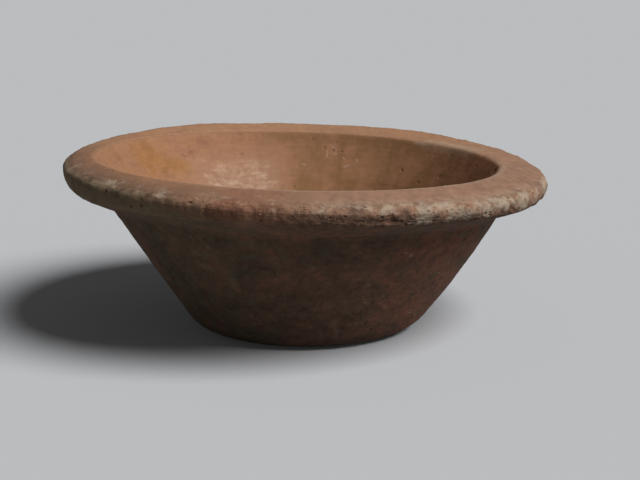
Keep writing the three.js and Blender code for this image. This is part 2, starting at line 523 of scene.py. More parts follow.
def section_outline(shape, profile):
    """The half section, from the foot's centre round the rim to the floor's centre."""
    rim_radius = profile.rim_radius
    edge_round = profile.edge_round
    up_wall = Vector((math.cos(profile.wall_slope), math.sin(profile.wall_slope)))
    bend_corner = profile.neck + up_wall * shape.neck_bend / 2
    edge_foot = Vector((rim_radius, profile.edge_top - shape.rim_edge))
    edge_head = Vector((rim_radius, profile.edge_top))
    outwards = (edge_foot - bend_corner).normalized()
    bend_end = bend_corner + outwards * shape.neck_bend / 2
    throat = profile.on_inner_wall(profile.neck.y + shape.rim_joint_rise)

    line = Outline(Vector((0, 0)))
    line.straight(Vector((AXIS_CLEARANCE, 0)), AXIS_CLEARANCE)
    line.straight(profile.foot_edge, FOOT_ROWS)
    line.arc(profile.heel_centre, shape.heel_round, 0, shape.base_joint_angle, HEEL_ROWS)
    line.name_row("foot")
    line.arc(profile.heel_centre, shape.heel_round, shape.base_joint_angle, profile.wall_slope, HEEL_ROWS)
    line.straight(profile.neck, WALL_ROWS)
    line.name_row("neck")
    line.bend(bend_corner, bend_end, NECK_ROWS)
    line.straight(edge_foot - outwards * edge_round, UNDERSIDE_ROWS)
    line.name_row("edge_start")
    steps = line.bend(edge_foot, edge_foot + Vector((0, edge_round)), EDGE_ROWS)
    line.name_row("lower_corner", steps // 2)
    line.straight(edge_head - Vector((0, edge_round)), EDGE_ROWS)
    steps = line.bend(edge_head, edge_head - Vector((edge_round, 0)), EDGE_ROWS)
    line.name_row("upper_corner", (steps - 1) // 2)
    line.name_row("edge_end")
    line.straight(profile.opening + Vector((shape.opening_round, 0)), TOP_ROWS)
    lip_end = profile.on_inner_wall(shape.rim_height - shape.opening_round)
    steps = line.bend(profile.opening, lip_end, LIP_ROWS)
    line.name_row("lip", steps // 2)
    line.straight(throat, THROAT_ROWS)
    line.name_row("throat")
    line.straight(profile.curve_top, INSIDE_ROWS)
    line.arc(profile.floor_centre, shape.floor_round, profile.inner_slope, 0, INSIDE_ROWS)
    line.name_row("floor")
    line.straight(Vector((AXIS_CLEARANCE, profile.floor_edge.y)), FLOOR_ROWS)
    line.straight(Vector((0, profile.floor_edge.y)), AXIS_CLEARANCE)
    return line


class Skin:
    """The bowl's surface as rows of its half section, each with its zone."""

    def __init__(self, shape):
        profile = Profile(shape)
        line = section_outline(shape, profile)
        points = line.points
        along = [0.0]
        for before, after in zip(points, points[1:]):
            along.append(along[-1] + (after - before).length)
        reached = {name: along[row] for name, row in line.named_rows.items()}
        self.sizes = profile.sizes()
        self.seams = {name: line.named_rows[name] for name in SEAMS}
        self.rows = []
        for index, point in enumerate(points):
            ahead = points[min(index + 1, len(points) - 1)] - points[max(index - 1, 0)]
            facing = Vector((ahead.y, 0, -ahead.x)).normalized()
            seam = float(index in self.seams.values())
            fields = self.surface(along[index], reached)
            self.rows.append(Row(point=point, facing=tuple(facing), seam=seam, **fields))

    @staticmethod
    def surface(here, reached):
        """The zones at a distance along the section: the rim's edge, its top and the inside.
        With how near it lies to a corner of the edge, and how far up the edge."""
        edge_start = reached["edge_start"]
        edge_end = reached["edge_end"]
        lip = reached["lip"]
        inside = smoothstep(lip - 0.6 * MM, lip + 0.6 * MM, here)
        on_edge = smoothstep(edge_start - 2.5 * MM, edge_start + 0.5 * MM, here)
        past_edge = smoothstep(edge_end - 0.5 * MM, edge_end + 3 * MM, here)
        top = smoothstep(edge_end - 1.2 * MM, edge_end + 1.8 * MM, here) * (1 - inside)
        from_corner = min(abs(here - reached[name]) for name in ("lower_corner", "upper_corner"))
        level = min(max((here - edge_start) / (edge_end - edge_start), 0.0), 1.0)
        return {
            "zones": (on_edge * (1 - past_edge), top, inside),
            "along": here,
            "corner": smoothstep(3 * MM, 0, from_corner),
            "level": level,
        }

    def stretch(self, start=None, end=None):
        """The rows from one seam to another, with both, or from or to the axis."""
        first = self.seams[start] if start else 0
        last = self.seams[end] if end else len(self.rows) - 1
        return self.rows[first:last + 1]


def new_object(name, data):
    """A new object, set into the scene."""
    item = bpy.data.objects.new(name, data)
    bpy.context.scene.collection.objects.link(item)
    return item


def keep(mesh, name, values):
    """Keeps a number or a vector on each vertex of a mesh."""
    if isinstance(values[0], tuple):
        attribute = mesh.attributes.new(name, "FLOAT_VECTOR", "POINT")
        attribute.data.foreach_set("vector", [part for value in values for part in value])
    else:
        attribute = mesh.attributes.new(name, "FLOAT", "POINT")
        attribute.data.foreach_set("value", values)


def section_mesh(rows):
    """The rows of a section as a line of vertices that carry what the tree needs."""
    mesh = bpy.data.meshes.new("section")
    line = [(row.point.x, 0, row.point.y) for row in rows]
    mesh.from_pydata(line, [(row, row + 1) for row in range(len(rows) - 1)], [])
    for name in ROW_FIELDS:
        keep(mesh, name, [getattr(row, name) for row in rows])
    return mesh


def damage_object(skin):
    """The places of the breaks and pits, as loose vertices with a size and a depth."""
    edge_rows = [row for row in skin.stretch("neck", "throat") if row.zones[0] > 0.9]
    inside_rows = [row for row in skin.stretch(end="floor") if row.zones[2] > 0.3]
    lowest = min(row.point.y for row in edge_rows)
    points = []
    for mark in EDGE_BREAKS:
        height = lowest + mark.height * MM
        nearest = min(edge_rows, key=lambda row: abs(row.point.y - height) - row.point.x)
        points.append(nearest.point)
    for mark in INSIDE_PITS:
        height = skin.sizes["Rim Height"] - mark.height * MM
        nearest = min(inside_rows, key=lambda row: abs(row.point.y - height))
        points.append(nearest.point)
    marks = EDGE_BREAKS + INSIDE_PITS
    turns = [math.radians(mark.direction) for mark in marks]
    places = [(p.x * math.cos(turn), p.x * math.sin(turn), p.y) for p, turn in zip(points, turns)]
    mesh = bpy.data.meshes.new("damage")
    mesh.from_pydata(places, [], [])
    keep(mesh, "size", [mark.size * MM for mark in marks])
    keep(mesh, "depth", [mark.depth * MM for mark in marks])
    return new_object("damage", mesh)


SOCKET_KINDS = {
    float: "NodeSocketFloat",
    int: "NodeSocketInt",
    bpy.types.Object: "NodeSocketObject",
    bpy.types.Material: "NodeSocketMaterial",
}


def tree_values(group):
    """A group's settings under the names that a tree's inputs have."""
    names = type(group).__annotations__
    return {name.replace("_", " ").title(): getattr(group, name) for name in names}


def start_tree(name, values):
    """Starts a Geometry Nodes tree with an input for each of these values, and gives their wires."""
    tree = bpy.data.node_groups.new(name, "GeometryNodeTree")
    for way in ("OUTPUT", "INPUT"):
        tree.interface.new_socket("Geometry", in_out=way, socket_type="NodeSocketGeometry")
    for label, value in values.items():
        tree.interface.new_socket(label, in_out="INPUT", socket_type=SOCKET_KINDS[type(value)])
    source = tree.nodes.new("NodeGroupInput")
    return {socket.name: Wire(tree, socket) for socket in source.outputs if socket.name}


def end_tree(geometry, material):
    """Makes the result plain, gives it its material and sends it out."""
    plain = geometry.add("GeometryNodeRealizeInstances", inputs={"Geometry": geometry})
    dressed = plain.add("GeometryNodeSetMaterial", inputs={"Geometry": plain, "Material": material})
    dressed.add("NodeGroupOutput", inputs={0: dressed})


def made_by_tree(name, mesh, tree, values):
    """A new object whose plain mesh is what the tree makes of this mesh."""
    piece = new_object(name, mesh)
    modifier = piece.modifiers.new("shape", "NODES")
    modifier.node_group = tree
    for item in tree.interface.items_tree:
        if item.in_out == "INPUT" and item.name in values:
            modifier[item.identifier] = values[item.name]
    graph = bpy.context.evaluated_depsgraph_get()
    finished = bpy.data.meshes.new_from_object(piece.evaluated_get(graph))
    piece.modifiers.remove(modifier)
    piece.data = finished
    finished.name = name
    bpy.data.meshes.remove(mesh)
    return piece


def named(wire, name, kind):
    """An attribute by its name."""
    return wire.add("GeometryNodeInputNamedAttribute", {"data_type": kind}, {"Name": name}, "Attribute")


def sampled(geometry, field, index, kind):
    """A value of another geometry's point."""
    sockets = {"Geometry": geometry, "Value": field, "Index": index}
    return geometry.add("GeometryNodeSampleIndex", {"data_type": kind}, sockets)


def stored(geometry, name, kind, value):
    """The geometry with a value kept on its points."""
    sockets = {"Geometry": geometry, "Name": name, "Value": value}
    return geometry.add("GeometryNodeStoreNamedAttribute", {"data_type": kind}, sockets)


def turned_tree(values):
    """The tree that turns a section round the axis, wears its surface and warps it."""
    size = start_tree("turned_clay", values)
    section = size["Geometry"]

    # One grid column for each step round the axis, with the first one repeated at the end.
    rows = section.add("GeometryNodeAttributeDomainSize", inputs={"Geometry": section})
    columns = size["Columns"] + 1
    grid = section.add("GeometryNodeMeshGrid", inputs={"Vertices X": rows, "Vertices Y": columns})
    index = section.add("GeometryNodeInputIndex")
    row = ((index + 0.5) / columns).function("FLOOR")
    column = index - row * columns
    column = column * column.below(size["Columns"] - 0.5)
    turn = column * math.tau / size["Columns"]
    right = turn.function("COSINE")
    back = turn.function("SINE")

    position = section.add("GeometryNodeInputPosition")
    radius, _, height = sampled(section, position, row, "FLOAT_VECTOR").parts()
    fields = {}
    for name, kind in ROW_FIELDS.items():
        fields[name] = sampled(section, named(section, name, kind), row, kind)
    outwards, _, upwards = fields["facing"].parts()
    place = section.vector(radius * right, radius * back, height)
    round_place = section.vector(right, back, fields["along"])
    relief, wear, nodule = worn_relief(size, place, round_place, fields)

    radius = radius + relief * outwards
    height = height + relief * upwards
    warped = warped_point(size, radius, height, right, back)
    shaped = grid.add("GeometryNodeSetPosition", inputs={"Geometry": grid, "Position": warped})
    shaped = stored(shaped, "zones", "FLOAT_VECTOR", fields["zones"])
    shaped = stored(shaped, "wear", "FLOAT_VECTOR", wear)
    shaped = stored(shaped, "growth", "FLOAT_VECTOR", section.vector(nodule, fields["level"], 0.0))
    shaped = stored(shaped, "seam", "FLOAT", fields["seam"])

    # The ends of the grid are closed, the joints between the pieces stay sharp, and the faces look out.
    shaped = shaped.add("GeometryNodeMergeByDistance", inputs={"Geometry": shaped, "Distance": WELD})
    at_joint = named(shaped, "seam", "FLOAT").above(0.9)
    creases = {"Geometry": shaped, "Selection": at_joint, "Shade Smooth": False}
    shaped = shaped.add("GeometryNodeSetShadeSmooth", {"domain": "EDGE"}, creases)
    shaped = shaped.add("GeometryNodeFlipFaces", inputs={"Mesh": shaped})
    end_tree(shaped, size["Material"])
    return shaped.tree


def worn_relief(size, place, round_place, fields):
    """How far the surface stands proud of the turned shape, with what its colour needs:
    (break, pit, crust) and the swelling of the crust's lumps."""
    seed = size["Seed"]
    level = fields["level"]
    edge, top, inside = fields["zones"].parts()
    right, back, _ = round_place.parts()
    across, deep, _ = place.parts()
    off_axis = ((across * across + deep * deep) ** 0.5).smooth(0, 10 * MM)
    towards = partial(facing_share, right, back)

    # The left and the back are worn least.
    calm = towards(155, 70, 115)
    hands = place.noise(24 * MM, seed, 3, 0.55) * size["Hand Wobble"] * (1 - 0.3 * inside)
    rings = round_place.scaled(9 * MM, 9 * MM, 1).noise(5 * MM, seed + 1) * size["Ring Depth"]
    rings = rings * (1 - 0.7 * edge) * (1 - 0.4 * inside) * off_axis
    rough = place.noise(2.4 * MM, seed + 2, 1, 0.6)
    bare = size["Skin Roughness"] * (1 - 0.8 * inside - 0.7 * top)
    rough = rough * (bare + size["Edge Roughness"] * edge) * (1 - 0.6 * calm * edge)
    lumps = place.noise(8 * MM, seed + 3) * size["Edge Lumps"] * (edge + 0.5 * top).clamped()
    lumps = lumps * (1 - 0.5 * calm)

    # The edge's corners are rubbed round, least on the left and the right.
    sharp = 0.25 * towards(-165, 40, 90) + 0.4 * towards(-12, 25, 55)
    rubbing = 0.8 - sharp + 0.6 * place.noise(14 * MM, seed + 7)
    rubbed = fields["corner"] * size["Corner Wear"] * rubbing

    # The edge is broken in places, most at the front, left of the middle.
    breaking = place.noise(6.5 * MM, seed + 8, 4, 0.62) + 0.1 * towards(-104, 8, 18)
    broken = (breaking - 0.3 * level).smooth(0.1, 0.38) * edge.smooth(0.5, 1)

    # Crust grows on the edge, most on the side that faces front right, with rags at its margin.
    favour = 0.3 * towards(-46, 29, 52) - 0.15 * towards(150, 70, 130)
    patches = place.noise(7 * MM, seed + 4, 5, 0.68) + favour
    creeping = 0.3 * towards(-60, 3, 10) + 0.8 * place.noise(4 * MM, seed + 9, 3, 0.6)
    spread = (edge + creeping - 0.9 * (0.6 - level).most(0)).smooth(0.3, 0.95) * edge.smooth(0.05, 0.35)
    bounded = 0.6 + 0.4 * towards(-12, 20, 45)
    crust = spread * patches.smooth(0.12, 0.5) * (1 - broken) * (1 - bounded * top)
    nodule = place.noise(1.7 * MM, seed + 11, 3, 0.62)
    crust_rise = crust * size["Crust Height"] * (0.55 + 1.1 * nodule)

    crowded = place.noise(7 * MM, seed + 12) + 0.6 * towards(-57, 25, 48)
    on_wall = (0.07 + 0.12 * towards(-40, 25, 50)) * (1 - inside - top)
    pit = scattered_pits(size, place, 0.02 + edge * (0.8 - 0.75 * level) * crowded.smooth(0, 0.7) + on_wall)
    chip, chip_depth = single_damage(size, place)

    relief = hands + rings + rough + lumps - rubbed + crust_rise * (1 - chip)
    relief = relief - pit * size["Pit Depth"] * (0.6 + 0.7 * edge) - chip * chip_depth
    relief = relief - broken * size["Break Depth"]
    relief = relief - size["Allowance"] * (edge + top).clamped()
    return relief, place.vector(chip.most(broken), pit, crust * (1 - chip)), nodule


def scattered_pits(size, place, share):
    """Small holes round a share of some scattered points, where these lie near the surface."""
    spacing = {"Vector": place, "Scale": 1 / size["Pit Spacing"]}
    distance = place.add("ShaderNodeTexVoronoi", inputs=spacing, output="Distance")
    chance, breadth, _ = distance.other("Color").parts()
    reach = 0.13 + 0.28 * breadth * breadth
    reach = reach * (1 + 0.4 * place.noise(1.2 * MM, size["Seed"] + 10))
    return (distance / reach).smooth(1, 0.35) * chance.below(share)


def single_damage(size, place):
    """How far a place lies in the nearest of the single breaks and pits, and how deep that one is."""
    marks = place.add("GeometryNodeObjectInfo", inputs={"Object": size["Damage"]}, output="Geometry")
    nearest = {"Geometry": marks, "Sample Position": place}
    nearest = place.add("GeometryNodeSampleNearest", {"domain": "POINT"}, nearest)
    centre = sampled(marks, place.add("GeometryNodeInputPosition"), nearest, "FLOAT_VECTOR")
    gap = place.add("ShaderNodeVectorMath", {"operation": "DISTANCE"}, {0: place, 1: centre}, "Value")
    breadth = sampled(marks, named(place, "size", "FLOAT"), nearest, "FLOAT")
    depth = sampled(marks, named(place, "depth", "FLOAT"), nearest, "FLOAT")
    ragged = 0.8 * place.noise(2.2 * MM, size["Seed"] + 6, 4, 0.65)
    return (gap / breadth + ragged).smooth(1, 0.3), depth


def warped_point(size, radius, height, right, back):
    """Where a point of the turned shape comes to lie in the lopsided bowl. The axis stays in place."""
    towards = partial(facing_share, right, back)
    left = 0 - right
    on_left = ((1 + left) / 2) ** 2
    on_right = ((1 - left) / 2) ** 2
    off_axis = (radius / AXIS_CLEARANCE).clamped()
    rise = (height / size["Rim Height"]).most(0) ** RISE_POWER * off_axis
    share = (height / size["Neck Height"]).clamped()
    bulge = size["Right Bulge"] * (1 - share) + size["Upper Bulge"] * share
    bulge = bulge * on_right * BULGE_PEAK * share * (1 - share) * off_axis
    reach = ((radius - size["Neck Radius"]) / (size["Rim Radius"] - size["Neck Radius"])).clamped()
    below_top = ((size["Edge Foot"] - height) / size["Edge Round"]).clamped()
    slope = size["Wall Slope"]
    wall = size["Heel Radius"] + (height - size["Heel Height"]) / slope.function("TANGENT")
    inside = ((wall - radius) * slope.function("SINE") / size["Wall Thickness"]).clamped()
    front_and_back = back * back - left * left
    wave = towards(42, 5, 32) + 0.6 * towards(138, 5, 32) - towards(96, 5, 22)
    lift = size["Lift Left"] * left + size["Lift Back"] * back + size["Saddle"] * front_and_back
    lift = lift + size["Back Wave"] * wave
    swell = size["Left Swell"] * on_left + size["Right Swell"] * on_right
    tilt = size["Left Rise"] * left - size["Front Rise"] * back
    x = radius * right - size["Opening Shift"] * rise * inside - bulge * left
    y = radius * back + bulge * back
    z = (height + tilt * rise + reach * (lift - swell * below_top)).most(0)
    return radius.vector(x, y, z)


def grain_tree(values):
    """The tree that scatters small lumps of crust or grit over a surface."""
    size = start_tree("grains", values)
    surface = size["Geometry"]
    seed = size["Seed"]
    _, pit, crust = named(surface, "wear", "FLOAT_VECTOR").parts()
    _, _, inside = named(surface, "zones", "FLOAT_VECTOR").parts()
    on_crust = size["Crust Share"]
    density = size["Density"] * (on_crust * crust + (1 - on_crust) * (1 - 0.85 * inside) * (1 - pit))
    scatter = {"Mesh": surface, "Density": density, "Seed": seed}
    points = surface.add("GeometryNodeDistributePointsOnFaces", inputs=scatter)
    lump = surface.add("GeometryNodeMeshIcoSphere", inputs={"Radius": 1, "Subdivisions": 1})
    position = surface.add("GeometryNodeInputPosition")
    dented = position.times(1 + position.noise(1.1, seed, 1) * 0.55)
    lump = lump.add("GeometryNodeSetPosition", inputs={"Geometry": lump, "Position": dented})
    spread = {"Min_001": 0.0, "Max_001": 1.0, "Seed": seed}
    chance = surface.add("FunctionNodeRandomValue", {"data_type": "FLOAT"}, spread, "Value_001")
    radius = size["Smallest"] + (size["Largest"] - size["Smallest"]) * chance ** 2.5
    squash = radius.vector(radius, radius * 0.85, radius * 0.6)
    laid = {"Points": points, "Instance": lump, "Rotation": points.other("Rotation"), "Scale": squash}
    grains = points.add("GeometryNodeInstanceOnPoints", inputs=laid)
    end_tree(grains, size["Material"])
    return grains.tree


def blank_nodes(owner):
    """The emptied node tree of a material or a world, as a wire to start from."""
    owner.use_nodes = True
    owner.node_tree.nodes.clear()
    return Wire(owner.node_tree)


def matt_surface(nodes, colour, roughness, height, gloss):
    """A matt surface with a varying colour and roughness and a fine bump."""
    sockets = {"Base Color": colour, "Roughness": roughness, "Normal": height.bumped()}
    shader = nodes.add("ShaderNodeBsdfPrincipled", inputs={**sockets, "Specular IOR Level": gloss})
    nodes.add("ShaderNodeOutputMaterial", inputs={"Surface": shader})


class ClayPlace:
    """A place on the clay: where it lies, its zone, its wear, and noise in lumps of several sizes."""

    def __init__(self, nodes, opening_shift):
        self.nodes = nodes
        self.place = nodes.add("ShaderNodeTexCoord", output="Object")
        x, y, self.z = self.place.parts()
        self.radius = (x * x + y * y) ** 0.5
        self.right = x / self.radius
        self.back = y / self.radius
        off_centre = x + opening_shift
        self.from_opening = (off_centre * off_centre + y * y) ** 0.5
        self.towards = partial(facing_share, self.right, self.back)

        self.edge, self.top, self.inside = self.kept("zones")
        self.chip, self.pit, self.crust = self.kept("wear")
        self.nodule, self.level, _ = self.kept("growth")
        self.bare = 1 - self.inside - self.top

        self.broad = self.place.noise(30 * MM, 1, 2)
        self.patchy = self.place.noise(11 * MM, 2, 4, 0.6)
        self.mottle = self.place.noise(3.5 * MM, 3, 4, 0.6)
        self.blotch = self.place.noise(1.9 * MM, 13, 4, 0.65)
        self.fine = self.place.noise(0.8 * MM, 4, 3, 0.65)
        up_wall = self.z.smooth(9 * MM, 22 * MM)
        self.brushed = self.wrapped(14 * MM, self.z).noise(1.6 * MM, 5, 3, 0.6) * up_wall
        self.wiped = self.wrapped(75 * MM, self.z * 0.12).noise(6 * MM, 6, 3) * up_wall

    def kept(self, name):
        """The three values that the mesh keeps under a name."""
        return self.nodes.add("ShaderNodeAttribute", {"attribute_name": name}, output="Vector").parts()

    def wrapped(self, radius, height):
        """The place as it would lie on a cylinder, for marks that run round the bowl or up it."""
        return self.nodes.vector(self.right * radius, self.back * radius, height)

    def drawn(self, strokes):
        """Where any of these strokes lies."""
        total = 0
        for stroke in strokes:
            turn = math.radians(stroke.direction)
            sideways = (self.right * math.sin(turn) - self.back * math.cos(turn)) * self.radius
            fall = stroke.slope if math.sin(turn) > 0 else -stroke.slope
            off = (self.z - stroke.height * MM + sideways * fall) / (stroke.breadth * MM)
            along = sideways / (stroke.reach * MM)
            mark = (off * off + along * along + 1.2 * self.blotch + 0.8 * self.mottle).smooth(1.2, 0.1)
            total = total + mark * self.towards(stroke.direction, 20, 30)
        return total.clamped()


def outside_colour(here, colours):
    """Bare outside: brown with redder patches low on the right, stained dark on the left."""
    low_right = here.towards(-28, 15, 55) * here.z.smooth(52 * MM, 30 * MM)
    reddish = here.patchy * 1.2 + here.mottle * 0.8 + here.broad * 0.5 + 0.5 * low_right
    outside = here.nodes.paint(colours.clay_brown).mixed(colours.clay_red, reddish.smooth(0.05, 0.5) * 0.75)
    stained = here.broad * 0.6 + here.brushed * 0.6 + here.mottle * 0.7 - 0.6 * here.patchy
    stained = stained + 0.3 * here.towards(-165, 20, 95)
    outside = outside.mixed(colours.clay_olive, stained.smooth(0.04, 0.42) * 0.8)
    slanting = here.nodes.vector(here.right * 50 * MM + here.z * 0.5, here.back * 50 * MM, here.z)
    dusty = slanting.noise(9 * MM, 12, 4, 0.65) + 0.7 * here.mottle + 0.4 * here.blotch
    outside = outside.mixed(colours.edge_soil, dusty.smooth(0.25, 0.8) * 0.45)
    outside = outside.mixed(colours.edge_soil, here.drawn(OUTSIDE_PALE) * 0.5)
    return outside.mixed(colours.fleck, here.drawn(OUTSIDE_SPECKS) * 0.5)


def inside_colour(here, colours):
    """Smoothed inside: orange with ochre smears on the left and a rubbed pale patch at the back."""
    z, patchy, mottle, blotch = here.z, here.patchy, here.mottle, here.blotch
    smears = (here.wiped * 0.8 + mottle * 0.7 + patchy * 0.6 - 0.3).smooth(0, 0.9)
    smears = (smears + 0.8 * here.drawn(INSIDE_OCHRE)).clamped()
    within = here.nodes.paint(colours.inside_orange).mixed(colours.inside_ochre, smears * 0.85)
    # Painted shade: browner towards the back right of the inside and in a band just under the back of the
    # rim, mixed in with the real stains.
    painted_shade_inside = 0.55 * here.towards(55, 25, 62) + 0.35 * here.towards(85, 25, 45) * z.smooth(52 * MM, 59 * MM)
    stains_and_painted_shade = patchy * 1.2 + here.wiped * 0.7 + here.broad * 0.4 + mottle * 0.8 + painted_shade_inside
    within = within.mixed(colours.inside_brown, stains_and_painted_shade.smooth(0.1, 0.95) * 0.75)

    worn_patch = here.towards(117, 3, 24) * z.smooth(57 * MM, 44 * MM) * z.smooth(20 * MM, 36 * MM)
    rubbed = (worn_patch + 0.9 * mottle + 0.9 * here.brushed + 0.5 * blotch - 0.6).smooth(0, 0.8)
    within = within.mixed(colours.inside_pale, (rubbed * 0.4 + worn_patch * 0.22).clamped())
    scratched = (0.6 * here.drawn(INSIDE_PALE) + 0.5 * rubbed.smooth(0.6, 1)).clamped()
    within = within.mixed(colours.fleck, scratched * 0.45)
    within = within.mixed(colours.clay_red, here.drawn(INSIDE_RED) * 0.4)
    within = within.mixed(colours.inside_brown, here.drawn(INSIDE_DARK) * 0.5)

    grimy = here.place.cells(3.4 * MM, 15).smooth(0.15, 0.05) + (mottle + blotch).smooth(0.5, 1) * 0.5
    grimy = grimy + worn_patch * (blotch + 0.7 * here.fine).smooth(0.25, 0.7)
    within = within.mixed(colours.clay_olive, grimy.clamped() * 0.35)
    settled = z.smooth(19 * MM, 9 * MM) * (0.5 + patchy + 0.6 * mottle).smooth(0, 1)
    return within.mixed(colours.edge_soil, settled * 0.35)


def top_colour(here, colours):
    """Top of the rim: pinkish in front, orange at the back, worn grey at the front left."""
    broad, patchy, mottle = here.broad, here.patchy, here.mottle
    flat = here.nodes.paint(colours.top_pink).mixed(colours.top_orange, here.towards(100, 35, 110))
    greyed = (here.towards(-142, 30, 68) + 1.1 * patchy + 0.7 * mottle).smooth(0.2, 1)
    flat = flat.mixed(colours.top_grey, greyed * 0.85)
    redder = (patchy + 0.3 * broad + 0.5 * mottle).smooth(0.1, 0.7) * 0.45 + 0.5 * here.towards(-101, 3, 9)
    flat = flat.mixed(colours.clay_red, redder)
    dusted = broad * 0.5 + patchy * 0.7 + mottle * 0.6 + 0.25 * here.towards(0, 25, 70)
    flat = flat.mixed(colours.edge_soil, dusted.smooth(0.1, 0.9) * 0.4)
    spilled = (here.towards(-165, 45, 90) + patchy + 0.5 * mottle).smooth(0.1, 1.1)
    return flat.mixed(colours.inside_orange, spilled * here.from_opening.smooth(80 * MM, 70 * MM) * 0.7)


def clay_shade(here):
    """How much lighter or darker the clay is from place to place, with painted shade over the rim's edge,
    low on the right, under the rim at the front right and on the outer top at the front left, and painted
    light on the edge's face at the front left and the front.
    """
    towards, bare, edge, level = here.towards, here.bare, here.edge, here.level
    contrast = 0.4 + 1.1 * bare + here.top * (0.2 + 0.3 * towards(-20, 50, 90))
    shade = 1 + (0.5 * here.mottle + 0.2 * here.fine + 0.3 * here.blotch) * contrast
    shade = shade + 0.2 * here.brushed * (1 - here.top) + here.patchy * (0.2 + 0.45 * bare)
    # Painted shade: a tenth darker over the rim's edge, darker low on the front right of the outside, and
    # darker in a band under the rim at the front right.
    low_right = here.z.smooth(50 * MM, 4 * MM) * towards(-45, 45, 90) * bare
    painted_shade_under_rim = here.z.smooth(36 * MM, 46 * MM) * towards(-55, 25, 50) * bare * (1 - edge)
    shade = shade * (1 - 0.1 * edge) * (1 - 0.24 * low_right) * (1 - 0.25 * painted_shade_under_rim)
    # Painted shade on the outer part of the top at the front left, and painted light on the edge's face at
    # the front left and the front, which turns away from the main light.
    front_left = towards(-152, 15, 42)
    outer_top = here.radius.smooth(74 * MM, 82 * MM) * level.smooth(0.35, 0.7)
    painted_light_on_face = 0.2 * front_left + 0.35 * towards(-110, 9, 22)
    return shade * (1 - 0.28 * outer_top * front_left) * (1 + edge * level.smooth(0.65, 0.25) * painted_light_on_face)


def limed(skin, here, colours):
    """Lime on the inner edge at the back right, on the inner edge in front, which is rubbed,
    and as dust on the outer part of the top, above the crusted edge."""
    towards, mottle, blotch = here.towards, here.mottle, here.blotch
    lip = here.radius.smooth(77 * MM, 72 * MM) * here.z.smooth(54 * MM, 57 * MM)
    limy = lip * (towards(36, 6, 18) + 0.8 * mottle + 0.5 * blotch).smooth(0.2, 1)
    brink = here.from_opening.smooth(73.6 * MM, 72.2 * MM) * here.top * towards(-60, 40, 75)
    skin = skin.mixed(colours.crust, (limy * 0.22 + brink * 0.3).clamped())
    powdered = (towards(-55, 20, 50) + mottle + 0.7 * blotch - 0.3).smooth(0, 1.2)
    return skin.mixed(colours.crust, powdered * here.top * here.radius.smooth(77 * MM, 84 * MM) * 0.35)


def flecked(skin, here, colours):
    """Pale flecks all over, lime flecks on the rim's right, and the rim's front left,
    which is flaked and scratched over the outer part of its top."""
    place, towards, blotch = here.place, here.towards, here.blotch
    outer_top = here.radius.smooth(75 * MM, 80.5 * MM) * here.level.smooth(0.5, 0.9) * (1 - here.inside)
    worn_front = towards(-133, 34, 58) * outer_top
    flaking = place.noise(5.5 * MM, 14, 3, 0.6)
    flaked = (worn_front * 0.35 + flaking + 0.3 * blotch).smooth(0.25, 0.75) * worn_front
    skin = skin.mixed(colours.crust, flaked * (0.12 + 0.33 * towards(-129, 6, 16)))
    curls = place.noise(3.4 * MM, 9, 1).function("ABSOLUTE").smooth(0.05, 0.01)
    curls = curls * (0.2 * worn_front + flaking).smooth(0.2, 0.5)
    specks = place.cells(2.6 * MM, 8).smooth(0.17, 0.08)
    specks = specks * (0.4 - 0.3 * here.inside + 0.3 * here.bare * towards(-45, 25, 55))
    lime_flecks = (place.cells(4.4 * MM, 16) + 0.06 * blotch).smooth(0.2, 0.1) * towards(2, 22, 45)
    specks = specks + lime_flecks * here.top * here.radius.smooth(71 * MM, 76 * MM)
    return skin.mixed(colours.fleck, (curls * worn_front + specks).clamped() * 0.65)


def edged(skin, here, colours):
    """The rim's edge: soil, redder places, pale crust with dirt between its lumps, and breaks."""
    towards, edge, patchy, mottle = here.towards, here.edge, here.patchy, here.mottle
    soiled = (towards(-165, 35, 75) + patchy + 0.7 * mottle - 0.7 * here.level).smooth(0, 0.9)
    skin = skin.mixed(colours.edge_soil, edge * (1 - here.top) * soiled * 0.7)
    ruddy = edge * (towards(-110, 3, 10) + patchy + 0.6 * mottle).smooth(0.35, 1)
    skin = skin.mixed(colours.clay_red, ruddy * 0.35)
    crusted = (here.crust + 0.7 * here.blotch + 0.5 * mottle - 0.1).smooth(-0.1, 0.9)
    lime = here.nodes.paint(colours.crust).mixed(colours.fleck, here.nodule.smooth(0, 0.5) * 0.5)
    lime = lime.mixed(colours.clay_brown, here.nodule.smooth(-0.05, -0.4) * 0.6)
    skin = skin.mixed(lime, crusted * here.crust.smooth(0, 0.4) * 0.62)
    return skin.mixed(colours.chip, (here.chip + 0.5 * mottle).smooth(0.2, 0.9) * edge * 0.25)


def pitted(skin, here, colours, small_holes):
    """Brown breaks in the inside, and dark soil in all the holes."""
    broken_inside = here.chip * here.inside
    skin = skin.mixed(colours.inside_brown, broken_inside * 0.75)
    hollow = here.pit * (0.35 + 0.5 * here.edge + 0.3 * here.bare * (1 - here.edge))
    hollow = hollow + small_holes + broken_inside * 0.15
    return skin.mixed(colours.pit, hollow.clamped() * 0.8)


